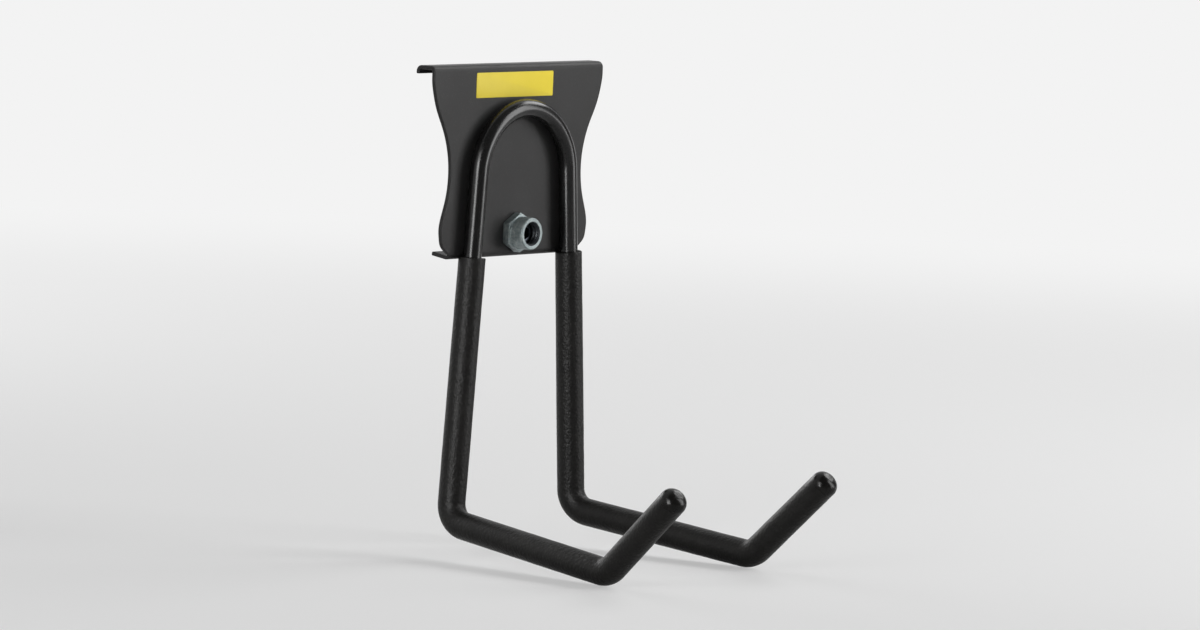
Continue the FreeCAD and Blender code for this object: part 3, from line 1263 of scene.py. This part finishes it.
@dataclass
class LockingNut:
    """Hexagon and round collar on the bracket, with a socket set screw in its bore.

    An edge or foot is a softened corner, as places across and along from the sharp one. The
    facet's edge has the share of the corner's chamfer before these two.
    """

    bracket: Bracket
    rise: float = 9.6
    across_flats: float = 14.0
    hex_length: float = 3.4
    hex_round: float = 0.15
    corner_chamfer: float = 0.5
    corner_chamfer_deg: float = 30.0
    facet_rows: int = 4
    facet_ends: float = 0.27
    facet_edge: tuple[Triple, ...] = ((0.0, 0.0, 0.08), (0.12, 0.02, 0.01))
    face_edge: Outline = ((0.02, 0.01), (0.08, 0.0))
    collar_radius: float = 6.45
    collar_length: float = 6.0
    collar_rows: int = 5
    collar_foot: Outline = ((0.12, 0.0), (0.03, 0.04), (0.0, 0.12))
    collar_edge: Outline = ((0.03, 0.35), (0.27, 0.10), (0.41, 0.0))
    mouth_radius: float = 4.9
    mouth_edge: Outline = ((0.28, 0.0), (0.08, 0.02))
    mouth_depth: float = 0.05
    bore_radius: float = 4.6
    bore_flare: float = 0.3
    flare_slope: float = 0.9
    bore_rows: int = 44
    plain_rows: int = 4
    crest_radius: float = 4.2
    screw_radius: float = 4.55
    screw_length: float = 7.0
    screw_chamfer: float = 0.7
    screw_clear: float = 0.25
    screw_rows: int = 96
    cup_radius: float = 3.0
    cup_depth: float = 1.0
    cup_rows: int = 3
    socket_flats: float = 5.0
    socket_depth: float = 3.5
    socket_round: float = 0.05
    socket_edge: Outline = ((0.22, 0.0), (0.06, 0.05), (0.0, 0.2))
    socket_rows: int = 4
    socket_cone: float = 0.5
    thread_pitch: float = 1.5
    thread_depth: float = 0.75
    thread_slope: float = 1.35
    thread_root: float = 0.18
    thread_end: float = 0.3
    sides: int = 144
    sharp_deg: float = 32.0

    @property
    def height(self) -> float:
        """Height of the nut's axis."""
        return -self.bracket.half_height + self.rise

    @property
    def length(self) -> float:
        """Length of the hexagon and its collar."""
        return self.hex_length + self.collar_length

    def turned(self, maker: Maker, column: Callable[[float], Profile],
               base_y: float) -> list[list[int]]:
        """Rings round the axis, one for each row of a column.

        Args:
            maker: takes the points.
            column: radius and distance forward for an angle, row by row.
            base_y: where the distance forward starts.

        Returns:
            The rings.
        """
        angles = spokes(self.sides)
        rings = []
        for row in zip(*map(column, angles)):
            rings.append(maker.ring([
                Vector((radius * math.cos(angle), base_y - forward,
                        self.height + radius * math.sin(angle)))
                for angle, (radius, forward) in zip(angles, row)
            ]))
        return rings

    def tooth(self, along: float, angle: float) -> float:
        """How far the thread's groove is filled, from 0 to 1, at a place on its cylinder."""
        turn = (along / self.thread_pitch - angle / math.tau) % 1.0
        return min(1.0, max(0.0, abs(turn - 0.5) * 2 * self.thread_slope - self.thread_root))

    def bore_wall(self, angle: float) -> Profile:
        """Threaded wall of the bore from its mouth down to the screw, then plain to the back.

        Args:
            angle: direction from the axis.

        Returns:
            Radius and distance forward, row by row.
        """
        start = self.length - self.mouth_depth
        end = self.screw_length - self.bracket.sheet + self.screw_clear
        wall = []
        for k in range(self.bore_rows + 1):
            along = start - (start - end) * k / self.bore_rows
            fade = min(1.0, max(0.0, (along - end) / self.thread_end))
            depth = self.bore_radius - self.crest_radius
            radius = self.bore_radius - depth * self.tooth(along, angle) * fade
            flare = self.bore_radius + self.bore_flare - (self.length - along) * self.flare_slope
            wall.append((max(radius, flare), along))
        rows = self.plain_rows
        return wall + [(self.bore_radius, end * (1 - k / rows)) for k in range(1, rows)]

    def nut_column(self, angle: float) -> Profile:
        """Outline of the nut cut in one direction, with its edges softened.

        Args:
            angle: direction from the axis.

        Returns:
            Radius and distance forward, row by row.
        """
        base = self.hex_round
        side = hexagon_radius(self.across_flats, angle, base)
        corner = self.across_flats / math.sqrt(3)
        slope = math.tan(math.radians(self.corner_chamfer_deg))
        edge = min(side, corner - self.corner_chamfer / slope)
        top, end, collar = self.hex_length, self.length, self.collar_radius
        meet = min(top, top - self.corner_chamfer + (corner - side) * slope)
        fillet, nose = self.collar_foot[0][0], self.collar_edge[0][1]
        plain = self.collar_length - nose - 2 * fillet
        facet, band = self.facet_rows, self.collar_rows
        return [
            (self.bore_radius, 0.0), (side - base, 0.0), (side, base),
            *((side, base + (meet - self.facet_ends) * k / facet) for k in range(1, facet)),
            *((side - (side - edge) * share - near, meet - back)
              for share, near, back in self.facet_edge),
            *((edge - near, top - back) for near, back in self.face_edge),
            *((collar + out, top + ahead) for out, ahead in self.collar_foot),
            *((collar, top + fillet + plain * k / band) for k in range(1, band + 1)),
            *((collar - near, end - back) for near, back in self.collar_edge),
            *((self.mouth_radius + out, end - back) for out, back in self.mouth_edge),
            *self.bore_wall(angle),
        ]

    def build_nut(self) -> bpy.types.Object:
        """Makes the nut.

        Returns:
            The piece.
        """
        maker = Maker()
        rings = self.turned(maker, self.nut_column, self.bracket.front_y)
        maker.skin(rings + [rings[0]])
        return maker.piece("collar_nut", self.sharp_deg)

    def screw_column(self, angle: float) -> Profile:
        """Outline of the screw cut in one direction, from its cup point to its socket.

        Args:
            angle: direction from the axis.

        Returns:
            Radius and distance forward, row by row.
        """
        top, rows = self.screw_length, self.cup_rows
        column = [(self.cup_radius * k / rows, self.cup_depth * (1 - k / rows))
                  for k in range(1, rows + 1)]
        for k in range(self.screw_rows + 1):
            along = top * k / self.screw_rows
            radius = self.screw_radius - self.thread_depth * self.tooth(along, angle)
            limit = self.screw_radius - self.screw_chamfer + min(along, top - along)
            column.append((min(radius, limit), along))
        socket = hexagon_radius(self.socket_flats, angle, self.socket_round)
        deep, rows = self.socket_depth, self.socket_rows
        return column + [
            *((socket + out, top - back) for out, back in self.socket_edge),
            *((socket, top - deep * k / rows) for k in range(1, rows + 1)),
            (socket / 2, top - deep - self.socket_cone / 2),
        ]

    def build_screw(self) -> bpy.types.Object:
        """Makes the screw.

        Returns:
            The piece.
        """
        maker = Maker()
        rings = self.turned(maker, self.screw_column, 0.0)
        maker.skin(rings)
        deep = self.screw_length - self.socket_depth - self.socket_cone
        for ring, forward in ((rings[0], self.cup_depth), (rings[-1], deep)):
            maker.cap(ring, Vector((0, -forward, self.height)))
        return maker.piece("locking_screw", self.sharp_deg)

    def dress(self) -> None:
        """Makes and finishes the nut and the screw."""
        zinc = ZincPlate(self.height, self.mouth_radius)
        dressed(self.build_nut(), zinc.material(), Slot.NUT, Body.HOOK, "weld_nut")
        dressed(self.build_screw(), BlackOxide().material(), Slot.SCREW, Body.SCREW, "lock_screw")


# The label


@dataclass
class Label:
    """Plain yellow film with round corners on the bracket's front.

    The edge is how far the outline is drawn in and how far back it lies, ring by ring.
    """

    bracket: Bracket
    width: float = 46.2
    height: float = 10.0
    thickness: float = 0.15
    corner: float = 0.6
    corner_rows: int = 6
    offset: float = -3.0
    top_margin: float = 3.1
    edge: Outline = ((0.0, 0.15), (0.0, 0.05), (0.015, 0.015), (0.05, 0.0))
    sharp_deg: float = 60.0

    def outline(self, shrink: float, y: float) -> list[Vector]:
        """Rounded rectangle.

        Args:
            shrink: how far it is drawn in.
            y: where it lies along Y.

        Returns:
            Its points.
        """
        middle = self.bracket.half_height - self.top_margin - self.height / 2
        bend = self.corner - shrink
        points = []
        for quarter, (sx, sz) in enumerate(SQUARE):
            cx = self.offset + sx * (self.width / 2 - self.corner)
            cz = middle + sz * (self.height / 2 - self.corner)
            for turn in quarter_turn(self.corner_rows):
                angle = math.radians(90 * quarter) + turn
                points.append(Vector((cx + bend * math.cos(angle), y, cz + bend * math.sin(angle))))
        return points

    def build(self) -> bpy.types.Object:
        """Makes the label.

        Returns:
            The piece.
        """
        maker = Maker()
        face = self.bracket.front_y - self.thickness
        rings = [maker.ring(self.outline(shrink, face + back)) for shrink, back in self.edge]
        maker.skin(rings)
        maker.faces += [tuple(rings[0]), tuple(rings[-1])]
        return maker.piece("yellow_label", self.sharp_deg)

    def dress(self) -> None:
        """Makes and finishes the label."""
        dressed(self.build(), YellowFilm().material(), Slot.LABEL, Body.HOOK, "label")


# The studio


@dataclass(frozen=True)
class Lamp:
    """A rectangular soft lamp that looks at the middle of the object."""

    name: str
    towards: Triple
    distance: float
    width: float
    height: float
    power: float
    gloss_only: bool = False

    def place(self, target: Vector) -> None:
        """Adds the lamp.

        Args:
            target: the point that it looks at, in metres.
        """
        data = bpy.data.lights.new(self.name, "AREA")
        data.shape = "RECTANGLE"
        data.size = self.width
        data.size_y = self.height
        data.energy = self.power
        lamp = bpy.data.objects.new(self.name, data)
        lamp.location = target + Vector(self.towards).normalized() * self.distance
        aim = (target - lamp.location).to_track_quat("-Z", "Y")
        lamp.rotation_euler = aim.to_euler()
        lamp.visible_diffuse = not self.gloss_only
        lamp.visible_camera = False
        bpy.context.scene.collection.objects.link(lamp)
        LOG.info("lamp %s at %.1f W", self.name, self.power)


@dataclass
class Studio:
    """Pale floor, soft lamps and the camera at the photograph's angle.

    The floor's height and reach are in millimetres. The limits of its shades and the lamps'
    sizes and distances are in metres.
    """

    ambient: float = 0.06
    front_gloss: float = 0.10
    horizon: Pair = (-0.08, 0.12)
    floor_z: float = -157.6
    floor_reach: float = 30000.0
    floor_colour: Colour = srgb(222, 222, 222)
    backdrop: Colour = srgb(243, 243, 243)
    floor_back: Pair = (-0.25, 0.35)
    floor_far: Pair = (0.25, 1.6)
    floor_near_share: float = 0.45
    camera_mm: Triple = (-1846.1, -1606.4, 179.8)
    target_mm: Triple = (0.0, -48.0, -58.0)
    up: Triple = (0.0474, 0.0899, 0.9948)
    lens: float = 184.0
    sensor: float = 36.0
    clip_end: float = 100.0
    lamps: tuple[Lamp, ...] = (
        Lamp("key_front_right", (0.60, -0.74, 0.27), 1.3, 0.60, 1.20, 16.0),
        Lamp("strip_left", (-0.96, -0.28, 0.05), 1.3, 0.46, 0.90, 12.5, True),
        Lamp("strip_low_left", (-0.97, -0.24, -0.076), 0.75, 0.20, 0.08, 1.3, True),
        Lamp("fill_left", (-0.92, -0.20, 0.34), 1.3, 0.60, 0.60, 5.0),
        Lamp("overhead_right", (0.75, -0.10, 0.65), 1.2, 0.50, 0.50, 5.0),
        Lamp("back_soft", (0.10, 0.93, 0.35), 1.3, 0.80, 0.60, 6.0),
    )

    def light(self) -> None:
        """Sets up the lamps and the world."""
        for lamp in self.lamps:
            lamp.place(Vector(self.target_mm) * MM)
        world = bpy.data.worlds.new("pale_studio")
        world.use_nodes = True
        bpy.context.scene.world = world
        bench = Bench(world.node_tree)
        way = bench.node("ShaderNodeTexCoord", output="Generated")
        strength = self.seen(bench, way, self.horizon).over(self.ambient, 1.0)
        shade = bench.node("ShaderNodeBackground", None,
                           {"Color": (1.0, 1.0, 1.0), "Strength": strength})
        bench.node("ShaderNodeOutputWorld", None, {"Surface": shade})

    def seen(self, bench: Bench, place: Value, limits: Pair) -> Value:
        """Share of the white background for each kind of ray.

        Args:
            bench: the tree.
            place: a point or direction in the studio.
            limits: the Y over which the bright back of the studio begins.

        Returns:
            1 for the camera, the same at the back and less in front for gloss and clear pieces,
            and 0 for light that falls on matt surfaces.
        """
        camera, glossy, clear = [bench.node("ShaderNodeLightPath", output=f"Is {kind} Ray")
                                 for kind in ("Camera", "Glossy", "Transmission")]
        depth = bench.node("ShaderNodeSeparateXYZ", None, {"Vector": place}, "Y")
        back = depth.eased(*limits).over(self.front_gloss, 1.0)
        return camera.largest(glossy.largest(clear) * back)

    def floor(self) -> None:
        """Makes the floor, which turns into the backdrop for the camera."""
        maker = Maker()
        ring = maker.ring([Vector((sx * self.floor_reach, sy * self.floor_reach, self.floor_z))
                           for sx, sy in SQUARE])
        maker.faces.append(tuple(ring))
        plane = maker.piece("studio_floor")
        paint = Paint("pale_floor")
        matt = paint.node("ShaderNodeBsdfDiffuse", None, {"Color": self.floor_colour})
        bright = paint.node("ShaderNodeEmission", None, {"Color": self.backdrop, "Strength": 1.0})
        far = paint.vector("LENGTH", paint.place(), output=1).eased(*self.floor_far)
        pale = far.over(self.floor_near_share, 1.0)
        share = self.seen(paint, paint.place(), self.floor_back) * pale
        both = paint.node("ShaderNodeMixShader", None, {0: share, 1: matt, 2: bright})
        paint.node("ShaderNodeOutputMaterial", None, {"Surface": both})
        plane.data.materials.append(paint.material)

    def camera(self) -> None:
        """Makes the camera and turns it on the object."""
        data = bpy.data.cameras.new("photo_camera")
        data.sensor_width = self.sensor
        data.lens = self.lens
        data.clip_end = self.clip_end
        made = bpy.data.objects.new("photo_camera", data)
        eye = Vector(self.camera_mm) * MM
        back = (eye - Vector(self.target_mm) * MM).normalized()
        right = Vector(self.up).cross(back).normalized()
        turn = Matrix((right, back.cross(right), back)).transposed().to_4x4()
        made.matrix_world = Matrix.Translation(eye) @ turn
        bpy.context.scene.collection.objects.link(made)
        bpy.context.scene.camera = made


def main() -> None:
    """Builds the hook piece by piece, then the studio."""
    logging.basicConfig(level=logging.INFO, format="%(name)s: %(message)s")
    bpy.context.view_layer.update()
    bpy.context.scene.view_settings.view_transform = "Standard"
    bracket = Bracket()
    nut = LockingNut(bracket)
    dressed(bracket.build(nut.height), PowderCoat().material(), Slot.BRACKET, Body.HOOK,
            "bracket_plate")
    Hook(bracket).dress()
    nut.dress()
    Label(bracket).dress()
    studio = Studio()
    studio.floor()
    studio.light()
    studio.camera()


if __name__ == "__main__":
    main()
